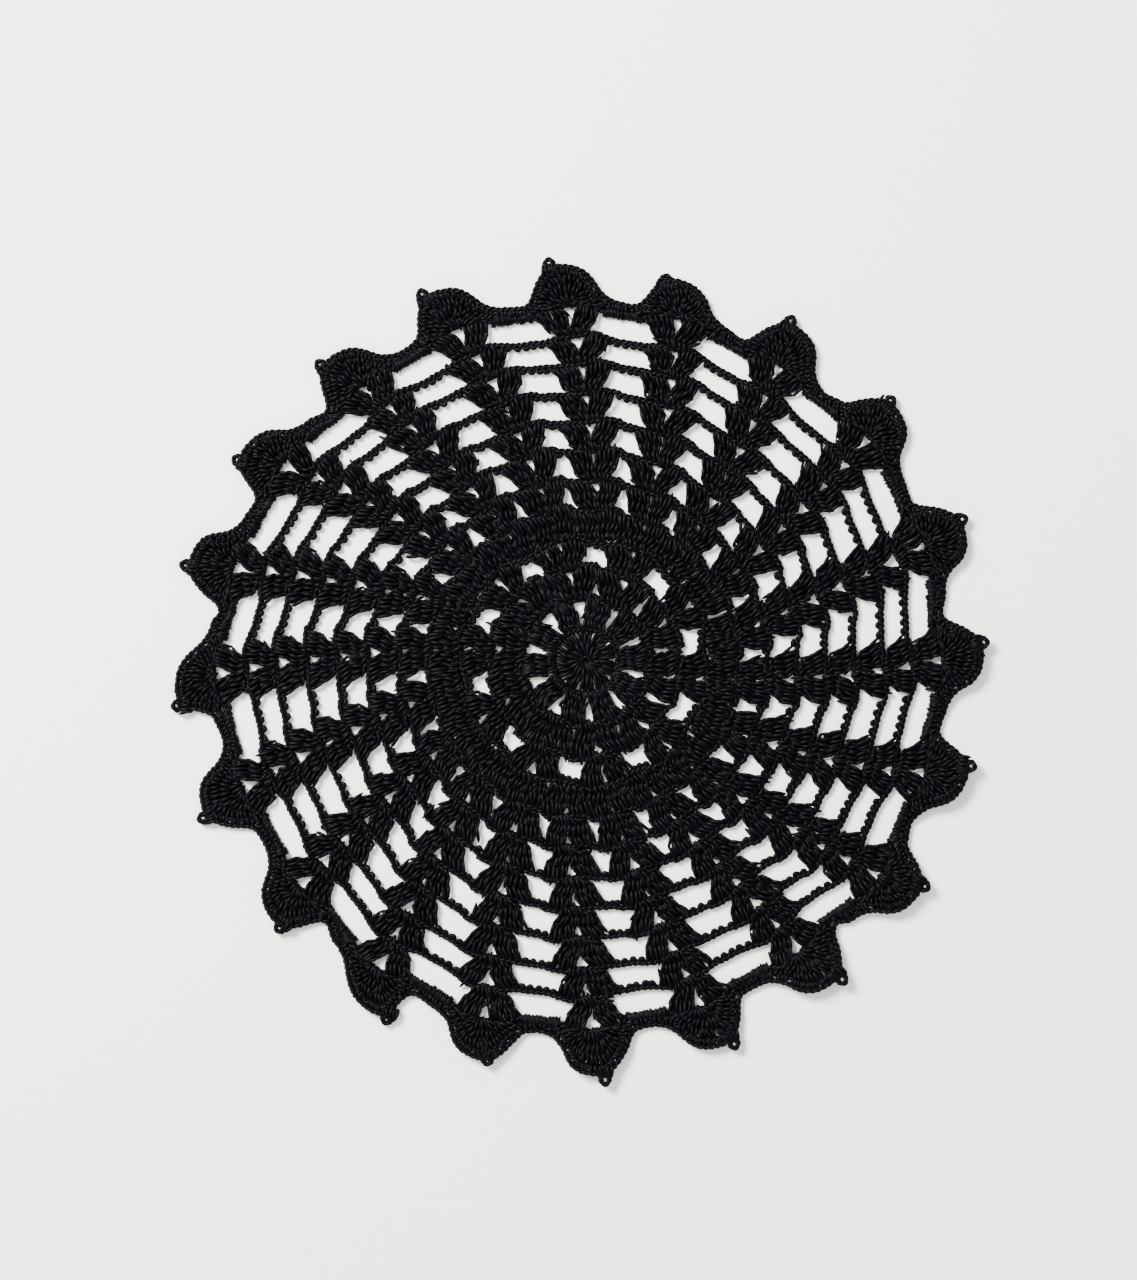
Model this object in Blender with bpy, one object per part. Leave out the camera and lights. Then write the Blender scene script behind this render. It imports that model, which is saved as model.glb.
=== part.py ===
"""A round openwork doily crocheted in black cotton: a closed middle, twenty columns of shells
with chain bars between them, and a rim of twenty fans, each with a small picot.

Metres, +Z up. The origin is the ring that the work starts from, on the surface the doily lies on.
Angles run anticlockwise from +X, and rounds are counted from the ring outwards.
"""

import math
from collections import namedtuple

import bmesh
import bpy

MM = 0.001

# Cloth heights, in millimetres
CREST = 2.3
BAR = 1.3
MIDDLE = 2.2
BORDER = 1.9
TIP = 1.4

# The outer rounds lie a little off the ring's centre, by this much at the last shell round
DRIFT_X = -0.94
DRIFT_Y = -1.46

# The shell rounds that set how a column of shells turns as it goes out
ROOT_MM = 34.3
MID_MM = 55.0
CROWN_MM = 83.0

# A row for each column of shells: its angles at the root, the middle and the crown, the crown's
# distance from the drifted centre, how far the picot leans past the crown, how far it stands
# beyond it, and how far the fan curls up
Column = namedtuple("Column", "root mid crown crown_mm lean rise_mm lift_mm")
COLUMNS = (
    Column(-7.0, -3.2, 0.9, 82.7, 2.7, 13.2, 1.8),
    Column(10.5, 15.7, 19.3, 83.7, 2.0, 13.6, 1.2),
    Column(29.2, 34.2, 38.4, 84.2, 2.4, 13.1, 0.8),
    Column(48.0, 52.7, 56.5, 82.7, 2.4, 13.8, 0.5),
    Column(66.1, 70.4, 74.3, 83.0, 3.4, 11.2, 0.4),
    Column(84.6, 88.2, 91.8, 82.8, 2.8, 13.8, 0.6),
    Column(102.9, 105.6, 110.0, 82.9, 3.1, 13.8, 0.4),
    Column(120.4, 123.6, 127.8, 82.1, 3.0, 13.3, 0.3),
    Column(138.1, 141.6, 145.7, 83.1, 3.2, 12.8, 0.5),
    Column(156.1, 160.4, 163.8, 83.3, 1.7, 14.1, 0.4),
    Column(174.4, 177.8, 180.9, 84.1, 4.5, 12.8, 0.6),
    Column(191.5, 195.8, 199.5, 82.7, 2.2, 14.3, 0.5),
    Column(209.5, 214.3, 217.6, 82.2, 3.2, 12.9, 0.7),
    Column(226.8, 232.3, 235.7, 83.5, 5.3, 12.5, 0.6),
    Column(244.7, 249.9, 254.1, 83.8, 2.4, 12.5, 1.2),
    Column(263.0, 267.6, 271.6, 83.1, 1.7, 15.1, 1.6),
    Column(280.4, 285.3, 289.1, 82.7, 3.0, 14.0, 1.2),
    Column(297.5, 303.8, 307.2, 82.3, 2.7, 14.4, 1.9),
    Column(315.8, 320.7, 324.6, 83.6, 2.9, 13.3, 1.7),
    Column(334.7, 337.9, 342.5, 82.3, 3.3, 13.3, 2.2),
)

# A row for each openwork round, in millimetres: where the gap between two columns starts and
# ends, how far it keeps from the column before it and from the one after it at either end, how
# far out the hole in each shell lies, and that hole's width
Round = namedtuple("Round", "gap_in gap_out after_in after_out before_in before_out hole hole_width")
ROUNDS = (
    Round(36.6, 40.4, 4.5, 6.6, 3.8, 5.2, 41.6, 0.0),
    Round(44.2, 48.4, 5.2, 7.6, 3.9, 6.0, 48.4, 1.5),
    Round(51.3, 55.4, 5.2, 8.0, 4.0, 6.3, 55.0, 1.8),
    Round(58.3, 62.1, 5.2, 8.2, 4.1, 6.5, 61.6, 1.9),
    Round(64.7, 68.8, 5.2, 8.2, 4.1, 6.4, 68.6, 2.0),
    Round(71.5, 75.5, 5.3, 8.6, 4.2, 6.4, 75.7, 2.2),
    Round(77.9, 81.8, 5.2, 9.0, 4.2, 5.9, 82.6, 3.0),
)
HOLE_STRETCH = 1.2
SIDE_BEND = 0.3
BAR_BOW = 0.3
CORNER_CUT = 0.35

# A row for each ring of holes in the middle: whether it follows the columns that start at a shell
# or at a chain loop, how far it lies behind their roots in degrees, how far out it lies, its
# width at the inner end and near the outer end, and its height, in millimetres
Ring = namedtuple("Ring", "at_loops behind radius width_in width_out height")
RINGS = (
    Ring(False, 7.1, 11.8, 0.8, 2.4, 3.4),
    Ring(True, 3.4, 18.3, 1.7, 1.0, 3.4),
    Ring(False, 0.5, 27.0, 0.8, 1.6, 1.8),
    Ring(True, -1.5, 25.0, 6.0, 4.4, 3.8),
)

# The rim of one fan, as degrees from its crown and millimetres beyond it, up to its picot
RISING_EDGE = ((-6.3, 4.2), (-5.0, 5.0), (-4.1, 6.5), (-3.0, 8.8), (-2.0, 10.2), (-0.8, 11.0))
FALLING_EDGE = ((5.3, 7.8), (6.0, 5.4), (6.7, 3.2), (8.6, 2.9))
PICOT_HALF_WIDTH = 1.05
PICOT_FOOT = 2.1
PICOT_NECK = 0.9

# How far out the rim starts to lift
LIFT_FROM = 78.0


def smooth(value):
    """Ease a value from 0 to 1, held outside that range."""
    held = min(max(value, 0.0), 1.0)
    return held * held * (3.0 - 2.0 * held)


def mix(first, second, share):
    """Give the value a share of the way from one to another."""
    return first + (second - first) * share


def spot(angle, radius):
    """Give the place at an angle and a distance from the centre, which drifts as rounds go out."""
    out = radius / CROWN_MM
    x = radius * math.cos(math.radians(angle)) + DRIFT_X * out
    y = radius * math.sin(math.radians(angle)) + DRIFT_Y * out
    return x, y


def polar(x, y):
    """Give the angle and distance of a place from the drifted centre."""
    out = math.hypot(x, y) / CROWN_MM
    dx = x - DRIFT_X * out
    dy = y - DRIFT_Y * out
    return math.degrees(math.atan2(dy, dx)), math.hypot(dx, dy)


def line(column, radius):
    """Give a column's angle at a distance from the centre, on a curve through its three angles."""
    at_root = (radius - MID_MM) * (radius - CROWN_MM) / ((ROOT_MM - MID_MM) * (ROOT_MM - CROWN_MM))
    at_mid = (radius - ROOT_MM) * (radius - CROWN_MM) / ((MID_MM - ROOT_MM) * (MID_MM - CROWN_MM))
    at_crown = 1.0 - at_root - at_mid
    return column.root * at_root + column.mid * at_mid + column.crown * at_crown


def beside(column, offset, radius):
    """Give the angle and distance of a place a number of millimetres to the side of a column."""
    reach = radius + (column.crown_mm - CROWN_MM) * (radius / CROWN_MM) ** 2
    return line(column, radius) + math.degrees(offset / reach), reach


def along(first, second, share, bow):
    """Give the angle and distance of a place between two, moved out by a bow."""
    return mix(first[0], second[0], share), mix(first[1], second[1], share) + bow


def gap(column, neighbour, row):
    """Outline the gap between two shell columns and two chain bars."""
    half = mix(row.gap_in, row.gap_out, 0.5)
    corner = row.gap_out - CORNER_CUT
    near_in = beside(column, row.after_in, row.gap_in)
    near_side = beside(column, mix(row.after_in, row.after_out, SIDE_BEND), half)
    near_out = beside(column, row.after_out, corner)
    far_in = beside(neighbour, -row.before_in, row.gap_in)
    far_side = beside(neighbour, -mix(row.before_in, row.before_out, SIDE_BEND), half)
    far_out = beside(neighbour, -row.before_out, corner)
    points = [
        near_in,
        along(near_in, far_in, 1 / 3, BAR_BOW),
        along(near_in, far_in, 2 / 3, BAR_BOW),
        far_in,
        far_side,
        far_out,
        along(far_out, near_out, 1 / 3, CORNER_CUT + BAR_BOW),
        along(far_out, near_out, 2 / 3, CORNER_CUT + BAR_BOW),
        near_out,
        near_side,
    ]
    return [spot(*point) for point in points]


def shell_hole(column, row):
    """Outline the small hole in the middle of a shell, pointed towards the ring."""
    half = row.hole_width / 2
    reach = half * HOLE_STRETCH
    points = [
        beside(column, 0.0, row.hole - reach),
        beside(column, half, row.hole + reach / 4),
        beside(column, 0.0, row.hole + reach),
        beside(column, -half, row.hole + reach / 4),
    ]
    return [spot(*point) for point in points]


def middle_hole(column, ring):
    """Outline one hole of a ring in the middle: a four-sided gap between crossing stitches."""
    angle = column.root - ring.behind
    foot = ring.radius - ring.height / 2
    top = ring.radius + ring.height / 2
    wide_in = math.degrees(ring.width_in / 2 / foot)
    wide_out = math.degrees(ring.width_out / 2 / top)
    return [
        spot(angle - wide_in, foot),
        spot(angle + wide_in, foot),
        spot(angle + wide_out, top),
        spot(angle - wide_out, top),
    ]


def fan_edge(column):
    """Outline one fan of the rim, with its leaning picot."""
    before = column.lean - PICOT_HALF_WIDTH
    after = column.lean + PICOT_HALF_WIDTH
    foot = column.rise_mm - PICOT_FOOT
    neck = column.rise_mm - PICOT_NECK
    points = [point for point in RISING_EDGE if point[0] < before]
    points.append((before, foot))
    points.append((column.lean - PICOT_HALF_WIDTH / 2, neck))
    points.append((column.lean, column.rise_mm))
    points.append((column.lean + PICOT_HALF_WIDTH / 2, neck))
    points.append((after, foot - PICOT_NECK))
    points += [point for point in FALLING_EDGE if point[0] > after]
    return [spot(column.crown + angle, column.crown_mm + out) for angle, out in points]


def next_column(index):
    """Give the column after one, its angles never less than those of the column before it."""
    neighbour = COLUMNS[(index + 1) % len(COLUMNS)]
    if index + 1 < len(COLUMNS):
        return neighbour
    angles = {name: getattr(neighbour, name) + 360 for name in ("root", "mid", "crown")}
    return neighbour._replace(**angles)


def outlines():
    """List the rim and every gap as closed outlines, in millimetres."""
    shapes = [[place for column in COLUMNS for place in fan_edge(column)]]
    for index, column in enumerate(COLUMNS):
        for row in ROUNDS:
            shapes.append(gap(column, next_column(index), row))
            if row.hole_width:
                shapes.append(shell_hole(column, row))
        starts_at_loop = index % 2 == 1
        for ring in RINGS:
            if ring.at_loops == starts_at_loop:
                shapes.append(middle_hole(column, ring))
    return shapes


def nearest_column(angle, radius):
    """Give the closest shell column and how far off it a place is, in millimetres."""
    best = None
    for column in COLUMNS:
        turn = (angle - line(column, radius) + 180) % 360 - 180
        side = math.radians(turn) * radius
        if best is None or abs(side) < abs(best[1]):
            best = (column, side)
    return best


def cloth_height(x, y):
    """Give the cloth's height: shells stand up, chain bars lie low, and fans thin to their tips."""
    angle, radius = polar(x, y)
    side = abs(nearest_column(angle, radius)[1])
    ridge = mix(CREST, BAR, smooth((side - 2.0) / 7.0))
    body = mix(MIDDLE, ridge, smooth((radius - ROOT_MM) / 6.0))
    rim = mix(BORDER, TIP, smooth((radius - CROWN_MM - 6.0) / 9.0))
    return mix(body, rim, smooth((radius - CROWN_MM) / 4.0))


def lift(x, y):
    """Give how much higher the rim's upper side lies where a fan curls up."""
    angle, radius = polar(x, y)
    column, side = nearest_column(angle, min(radius, CROWN_MM))
    share = 1.0 - smooth((abs(side) - 4.0) / 9.0)
    return column.lift_mm * share * smooth((radius - LIFT_FROM) / 16.0)


def flat_cloth(collection):
    """Fill the outlines as a flat curve with its gaps open, and make it a mesh."""
    curve = bpy.data.curves.new("doily_outline", "CURVE")
    curve.dimensions = "2D"
    curve.fill_mode = "BOTH"
    curve.extrude = MIDDLE * MM / 2
    for shape in outlines():
        spline = curve.splines.new("POLY")
        spline.points.add(len(shape) - 1)
        for point, place in zip(spline.points, shape):
            point.co = (place[0] * MM, place[1] * MM, 0.0, 1.0)
        spline.use_cyclic_u = True
    outline = bpy.data.objects.new("doily_outline", curve)
    collection.objects.link(outline)
    bpy.context.view_layer.update()
    seen = outline.evaluated_get(bpy.context.evaluated_depsgraph_get())
    mesh = bpy.data.meshes.new_from_object(seen)
    mesh.name = "doily"
    doily = bpy.data.objects.new("doily", mesh)
    doily.matrix_world = outline.matrix_world
    collection.objects.link(doily)
    bpy.data.objects.remove(outline)
    return doily


def is_flat(face):
    """Say whether a face is part of the cloth's upper or under side."""
    return abs(face.normal.z) > 0.5


def shape_cloth(doily):
    """Weld the flat cloth, even out its faces, and give its upper side its height."""
    cloth = bmesh.new()
    cloth.from_mesh(doily.data)
    bmesh.ops.remove_doubles(cloth, verts=cloth.verts, dist=0.00001)
    cloth.normal_update()
    faces = [face for face in cloth.faces if is_flat(face)]
    edges = [edge for edge in cloth.edges if all(is_flat(face) for face in edge.link_faces)]
    bmesh.ops.beautify_fill(cloth, faces=faces, edges=edges, method="AREA")
    for vertex in cloth.verts:
        x = vertex.co.x / MM
        y = vertex.co.y / MM
        top = cloth_height(x, y) + lift(x, y)
        vertex.co.z = top * MM if vertex.co.z > 0.0 else 0.0
    bmesh.ops.recalc_face_normals(cloth, faces=cloth.faces)
    cloth.to_mesh(doily.data)
    cloth.free()


def black_cotton():
    """Make the material: near-black cotton thread with a soft shine."""
    material = bpy.data.materials.new("black_cotton")
    material.use_nodes = True
    shader = material.node_tree.nodes["Principled BSDF"]
    shader.inputs["Base Color"].default_value = (0.006, 0.006, 0.008, 1.0)
    shader.inputs["Roughness"].default_value = 0.6
    shader.inputs["Metallic"].default_value = 0.0
    return material


def main():
    for thing in list(bpy.data.objects):
        bpy.data.objects.remove(thing)
    collection = bpy.data.collections.new("lace_doily")
    bpy.context.scene.collection.children.link(collection)
    doily = flat_cloth(collection)
    shape_cloth(doily)
    doily.data.materials.clear()
    doily.data.materials.append(black_cotton())


main()
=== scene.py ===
"""A round black cotton doily, crocheted strand by strand, lying flat and seen from above.

The work is modelled as the thread that it is made of. The halves of each shell, the fans and the
single crochet are patches filled with strands side by side, and each round ends in a chain edge of
two twisted strands, with a bulging loop for each chain where it crosses an opening. Tables give
lengths in millimetres and angles in degrees, anticlockwise from +X. The origin is the ring that
the work starts from, on the surface the doily lies on.
"""

import math
from collections import namedtuple

import bpy
import numpy as np
from bpy.props import FloatProperty, FloatVectorProperty, IntProperty, PointerProperty
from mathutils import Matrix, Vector


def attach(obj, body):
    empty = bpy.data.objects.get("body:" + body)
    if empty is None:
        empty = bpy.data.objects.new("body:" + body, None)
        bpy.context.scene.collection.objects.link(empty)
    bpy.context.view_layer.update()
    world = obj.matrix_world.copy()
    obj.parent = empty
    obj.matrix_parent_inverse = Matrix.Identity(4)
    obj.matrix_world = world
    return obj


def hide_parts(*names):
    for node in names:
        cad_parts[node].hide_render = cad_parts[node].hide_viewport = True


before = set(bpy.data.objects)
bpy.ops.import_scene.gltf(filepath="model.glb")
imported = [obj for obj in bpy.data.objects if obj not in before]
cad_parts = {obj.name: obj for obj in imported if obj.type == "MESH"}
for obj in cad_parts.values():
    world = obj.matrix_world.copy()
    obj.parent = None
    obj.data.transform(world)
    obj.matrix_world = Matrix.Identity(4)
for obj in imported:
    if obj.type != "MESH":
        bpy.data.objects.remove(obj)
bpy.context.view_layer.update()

bl_info = {
    "name": "Crocheted Doily",
    "version": (1, 0, 0),
    "blender": (4, 5, 0),
    "location": "View3D > Sidebar > Doily",
    "description": "Makes a round black lace doily out of crocheted thread, and a stage for it",
    "category": "Object",
}

MM = 0.001
NODE = "doily"
SEED = 14

# The photograph's frame on the surface, in millimetres: its middle and its height
VIEW_X = -4.11
VIEW_Y = 4.82
VIEW_HIGH = 300.8

# The outer rounds lie a little off the ring's centre, by this much at the last shell round
DRIFT_X = -0.94
DRIFT_Y = -1.46

# The shell rounds that set how a column of shells turns as it goes out
ROOT_MM = 34.3
MID_MM = 55.0
CROWN_MM = 83.0

# A row for each column of shells: its angles at the root, the middle and the crown, the crown's
# distance from the drifted centre, how far the picot leans past the crown, how far it stands
# beyond it, and how far the fan curls up
Column = namedtuple("Column", "root mid crown crown_mm lean rise_mm lift_mm")
COLUMNS = (
    Column(-7.0, -3.2, 0.9, 82.7, 2.7, 13.2, 1.8),
    Column(10.5, 15.7, 19.3, 83.7, 2.0, 13.6, 1.2),
    Column(29.2, 34.2, 38.4, 84.2, 2.4, 13.1, 0.8),
    Column(48.0, 52.7, 56.5, 82.7, 2.4, 13.8, 0.5),
    Column(66.1, 70.4, 74.3, 83.0, 3.4, 11.9, 0.4),
    Column(84.6, 88.2, 91.8, 82.8, 2.8, 13.8, 0.6),
    Column(102.9, 105.6, 110.0, 82.9, 3.1, 13.8, 0.4),
    Column(120.4, 123.6, 127.8, 82.1, 3.0, 13.3, 0.3),
    Column(138.1, 141.6, 145.7, 83.1, 3.2, 12.8, 0.5),
    Column(156.1, 160.4, 163.8, 83.3, 1.7, 14.1, 0.4),
    Column(174.4, 177.8, 180.9, 84.1, 4.5, 12.8, 0.6),
    Column(191.5, 195.8, 199.5, 82.7, 2.2, 14.3, 0.5),
    Column(209.5, 214.3, 217.6, 82.2, 3.2, 12.9, 0.7),
    Column(226.8, 232.3, 235.7, 83.5, 5.3, 12.5, 0.6),
    Column(244.7, 249.9, 254.1, 83.8, 2.4, 12.5, 1.2),
    Column(263.0, 267.6, 271.6, 83.1, 1.7, 15.1, 1.6),
    Column(280.4, 285.3, 289.1, 82.7, 3.0, 14.0, 1.2),
    Column(297.5, 303.8, 307.2, 82.3, 2.7, 14.4, 1.9),
    Column(315.8, 320.7, 324.6, 83.6, 2.9, 13.3, 1.7),
    Column(334.7, 337.9, 342.5, 82.3, 3.3, 13.3, 2.2),
)

# How far the shells of the middle rounds lie behind the columns' roots
Turn = namedtuple("Turn", "radius behind")
TURNS = (Turn(6.9, 9.5), Turn(11.8, 7.1), Turn(20.4, 2.7), Turn(27.0, 0.5), Turn(34.3, 0.0))

# One half of a shell, on one side of its column. It lies between an inner edge, from its foot by
# the split below the shell's hole to the side of the hole, and an outer edge, from its foot by the
# middle to the end. Each number is millimetres beside the column, or from the centre for the names
# that end in _out
Half = namedtuple("Half", "foot split hole mid mid_out end end_out")

# A row for each round of shells: how many columns lie from one shell to the next, where it starts
# and ends, how far out its chain bars lie, the loops in a bar, the strands side by side at the top
# of a half, and its two halves
Shells = namedtuple("Shells", "every foot top chain_out loops strands before after")
SHELLS = (
    Shells(
        2, 7.2, 14.0, 14.8, 0, 5,
        Half(-1.8, -0.9, -2.3, -3.1, 10.3, -4.6, 14.4),
        Half(1.8, 1.0, 1.6, 3.3, 10.1, 4.8, 14.3),
    ),
    Shells(
        2, 14.2, 21.4, 22.4, 0, 6,
        Half(-3.0, -0.3, -1.3, -4.6, 17.7, -6.9, 22.0),
        Half(3.0, 0.3, 1.3, 5.2, 17.2, 7.1, 21.8),
    ),
    Shells(
        2, 21.5, 28.5, 28.2, 3, 6,
        Half(-2.6, -0.4, -1.6, -4.1, 24.6, -6.3, 28.0),
        Half(3.0, 0.2, 1.3, 4.9, 24.0, 6.5, 27.6),
    ),
    Shells(
        1, 28.9, 35.4, 36.1, 0, 6,
        Half(-3.4, -0.2, -0.8, -4.5, 31.6, -5.3, 35.8),
        Half(4.1, 0.2, 0.8, 4.8, 31.0, 5.4, 35.5),
    ),
    Shells(
        1, 35.8, 42.4, 43.3, 1, 6,
        Half(-2.7, -0.3, -1.1, -4.2, 38.8, -5.8, 42.9),
        Half(2.9, 0.4, 1.3, 5.0, 38.2, 6.3, 42.4),
    ),
    Shells(
        1, 42.8, 49.6, 50.4, 1, 6,
        Half(-2.5, -0.1, -1.6, -4.0, 45.9, -6.3, 50.0),
        Half(3.1, 0.6, 1.6, 5.2, 45.4, 7.0, 49.6),
    ),
    Shells(
        1, 49.9, 56.6, 57.2, 3, 6,
        Half(-2.7, -0.1, -1.8, -4.3, 53.0, -6.8, 56.9),
        Half(3.2, 0.6, 1.6, 5.2, 52.6, 7.0, 56.4),
    ),
    Shells(
        1, 56.9, 63.4, 64.0, 3, 6,
        Half(-2.9, -0.2, -2.2, -4.5, 60.0, -7.2, 63.7),
        Half(3.2, 0.5, 1.6, 5.4, 59.5, 7.1, 63.2),
    ),
    Shells(
        1, 63.7, 70.4, 70.8, 4, 6,
        Half(-3.0, -0.4, -2.2, -4.7, 66.8, -7.1, 70.6),
        Half(3.1, 0.3, 1.5, 5.2, 66.1, 7.0, 70.1),
    ),
    Shells(
        1, 70.7, 77.1, 76.8, 5, 6,
        Half(-3.0, -0.4, -2.4, -4.7, 73.5, -7.1, 76.8),
        Half(3.1, 0.4, 1.8, 5.2, 72.9, 7.1, 76.3),
    ),
    Shells(
        1, 77.5, 84.6, 83.2, 0, 6,
        Half(-2.9, 0.0, -2.4, -4.4, 80.3, -7.1, 83.8),
        Half(3.6, 1.0, 2.0, 5.8, 79.7, 8.2, 83.2),
    ),
)

# How a half's foot lies: the share of its inner edge and the step up of its outer edge. Then how
# far its top bulges out between its edges, before and after the column
FOOT_INNER = 0.12
FOOT_STEP = 0.7
SWELL_BEFORE = 1.1
SWELL_AFTER = 0.5

# How the shells of a round differ: how wide their holes open and how far their halves spread
HOLE_SHARE = 0.84
HOLE_UNEVEN = 0.26
SPREAD_UNEVEN = 0.07
UNEVEN_BY_ROOT = 7.3
UNEVEN_BY_RADIUS = 3.1

# A row for each tier of strands in a half of a shell: where it starts and ends as shares of the
# half's height, how many strands fewer it has than the top, and which way they lean
ShellTier = namedtuple("ShellTier", "start end fewer lean")
SHELL_TIERS = (
    ShellTier(-0.05, 0.42, 2, 1.3),
    ShellTier(0.31, 0.73, 1, -1.2),
    ShellTier(0.64, 1.05, 0, 1.3),
)
SHELL_UNDER = (ShellTier(-0.05, 0.60, 3, -1.0), ShellTier(0.45, 1.06, 2, -1.0))

# The rounds of shells in the middle, and the first and the one past the last of each openwork piece
MIDDLE_ROUNDS = 4
NETS = (("inner_net", 4, 7), ("middle_net", 7, 9), ("outer_net", 9, 11))

# How far out a chain edge lies: past the top at a shell's hole and beside it, and past its bars'
# distance at the ends of a bar and along it
EDGE_AT_HOLE = 0.65
EDGE_NEAR_BEFORE = 1.35
EDGE_NEAR_AFTER = 0.35
EDGE_NEAR = 0.55
BAR_SHARES = (0.0, 0.25, 0.5, 0.75, 1.0)
BAR_PAST = (-0.1, 0.0, 0.0, 0.2, 0.8)

# The ring, two turns of thread that widen and rise and fall
RING_MM = 0.8
RING_WIDENS = 0.05
RING_DROP = 0.15
RING_WAVE = 0.3
RING_POINTS = 34

# The first round, with its strands in groups of three that leave a gap between them
FIRST_FOOT = 0.5
FIRST_TOP = 7.3
FIRST_CHAIN = 7.6
FIRST_STRANDS = 18
FIRST_LOW = (0.0, 0.64)
FIRST_HIGH = (0.40, 1.0)
FIRST_GROUPS = 10
FIRST_TURN = 21.0
FIRST_SPREAD = 12.8
FIRST_LEAN = -0.8
FIRST_CHAIN_STEP = 15

# The rim of one fan: degrees from its crown, and millimetres beyond it
Rim = namedtuple("Rim", "turn beyond")
RIM = (
    Rim(-8.2, 3.6),
    Rim(-7.0, 3.9),
    Rim(-6.0, 4.5),
    Rim(-5.2, 5.3),
    Rim(-4.5, 6.4),
    Rim(-3.8, 8.0),
    Rim(-3.0, 9.5),
    Rim(-2.0, 10.7),
    Rim(-1.0, 11.4),
    Rim(0.2, 11.8),
    Rim(1.4, 12.0),
    Rim(2.6, 11.7),
    Rim(3.6, 10.9),
    Rim(4.4, 9.6),
    Rim(5.1, 8.1),
    Rim(5.7, 6.4),
    Rim(6.2, 4.9),
    Rim(6.8, 3.7),
    Rim(7.7, 3.2),
)

# How a fan grows and leans towards its picot, as shares of what the picot does beyond the usual
USUAL_RISE_MM = 13.4
USUAL_LEAN = 2.9
RIM_GROWTH = 0.6
RIM_GROWTH_FROM = 5.0
RIM_LEAN = 0.5
RIM_LEAN_FROM = 4.0
RIM_LEAN_OVER = 8.0
RIM_SAMPLES = 8

# The rim's chain edge and its stitches: how far in they lie, how many there are, how far apart
# their strands are, and the share of that at their outer ends
RIM_CORD_IN = 0.74
RIM_CORD_MM = 0.34
RIM_STITCH_OUT = 0.95
RIM_STITCH_IN = 2.7
RIM_STITCHES = 248
RIM_STRAND_MM = 0.91
RIM_OUTER_SHARE = 0.85
RIM_ASIDE = (-1, 0, 1)
RIM_UNDER_ASIDE = (-0.55, 0.55)

# The fans: how far in from the rim they end, the angles at which they start and end, where their
# foot lies beside the column and how far out, and how far in from it and by how much the strands
# at their sides bow
FAN_IN = 2.25
FAN_START = -6.2
FAN_END = 6.6
FAN_FOOT = 85.0
FAN_FOOT_BEFORE = -1.9
FAN_FOOT_AFTER = 1.8
FAN_HEART = 2.0
FAN_BOW = 0.5
Tier = namedtuple("Tier", "start end strands lean")
FAN_TIERS = (Tier(-0.02, 0.42, 9, 1.0), Tier(0.31, 0.72, 16, -0.9), Tier(0.62, 1.02, 23, 1.0))
FAN_UNDER = (Tier(-0.02, 0.55, 8, -1.0), Tier(0.42, 1.02, 17, -1.0))

# The single crochet between two fans, in pairs of strands
VALLEY_PAIRS = 9
VALLEY_PAIR_SHARE = 0.25
VALLEY_BEFORE = -7.2
VALLEY_AFTER = 7.9
VALLEY_FOOT = 82.0
VALLEY_RISE = 0.7
VALLEY_REACH = (-0.05, 1.15)

# The picots: the size of the ring, how far in from the tip its stem starts and ends and how wide it
# is, its widths at the waist and the top as shares of the foot's, and the ring's two twisted
# strands. A ring is squashed by its tall share, which grows with the picot's rise
PICOT_MM = 0.98
PICOT_FOOT = 4.9
PICOT_STEM = 2.0
PICOT_SPREAD = 1.75
PICOT_WAIST = 0.95
PICOT_TOP = 0.75
PICOT_TIERS = (Tier(0.0, 1.0, 5, 1.0),)
PICOT_UNDER = (Tier(0.0, 1.0, 4, -1.0),)
PICOT_TIP = 0.5
PICOT_TURN = 3.0
PICOT_POINTS = 16
PICOT_TWISTS = 2.0
PICOT_CORD_MM = 0.27
PICOT_THICKNESS = 1.2
TALL_SHARE = 0.72
TALL_FROM_MM = 12.0
TALL_GROWTH = 0.14
TALL_LEAST = 0.7
TALL_MOST = 1.1

# Where a fan lifts: from this distance outwards, fully to this far beside its crown, and the
# lengths over which it eases
LIFT_FROM = 78.0
LIFT_OVER = 16.0
LIFT_BESIDE = 4.0
LIFT_EASE = 9.0

# How one strand of a stitch runs: along its length as a share, to the side, and up. The thickness
# is in threads at its middle, and the taper is the share of it that is gone at the ends
Bend = namedtuple("Bend", "along side up")
STRAND = (
    Bend(0.00, -0.30, -0.62),
    Bend(0.17, -0.19, 0.00),
    Bend(0.50, 0.00, 0.26),
    Bend(0.83, 0.19, 0.02),
    Bend(1.00, 0.28, -0.58),
)
UNDER_STRAND = (
    Bend(0.00, -0.20, 0.30),
    Bend(0.33, -0.07, -0.08),
    Bend(0.67, 0.07, -0.08),
    Bend(1.00, 0.20, 0.30),
)
STRAND_THICKNESS = 1.14
STRAND_TAPER = 0.48
UNDER_THICKNESS = 2.0
UNDER_TAPER = 0.32
STRAND_STEP = 1.6
FINE_STEP = 0.5
MOST_STEPS = 6
LOWEST_MM = 0.02

# How much strands stray in thickness, in place along their line, in curve and in height
THICKNESS_STRAY = 0.04
SHARE_STRAY = 0.045
UNDER_SHARE_STRAY = 0.02
CURVE_STRAY = 0.6
HEIGHT_STRAY = 0.13
UNDER_HEIGHT_STRAY = 0.02

# How one loop of a chain bar bulges towards the middle: along the bar, outwards, and up
Turned = namedtuple("Turned", "along out up")
LOOP = (
    Turned(-0.52, -0.50, -0.10),
    Turned(-0.40, -0.92, 0.00),
    Turned(-0.16, -1.16, 0.10),
    Turned(0.16, -1.16, 0.14),
    Turned(0.40, -0.92, 0.06),
    Turned(0.52, -0.50, -0.06),
)
LOOP_THICKNESS = 1.5
LOOP_PLACE_STRAY = 0.015
LOOP_SIZE_STRAY = 0.06

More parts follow.
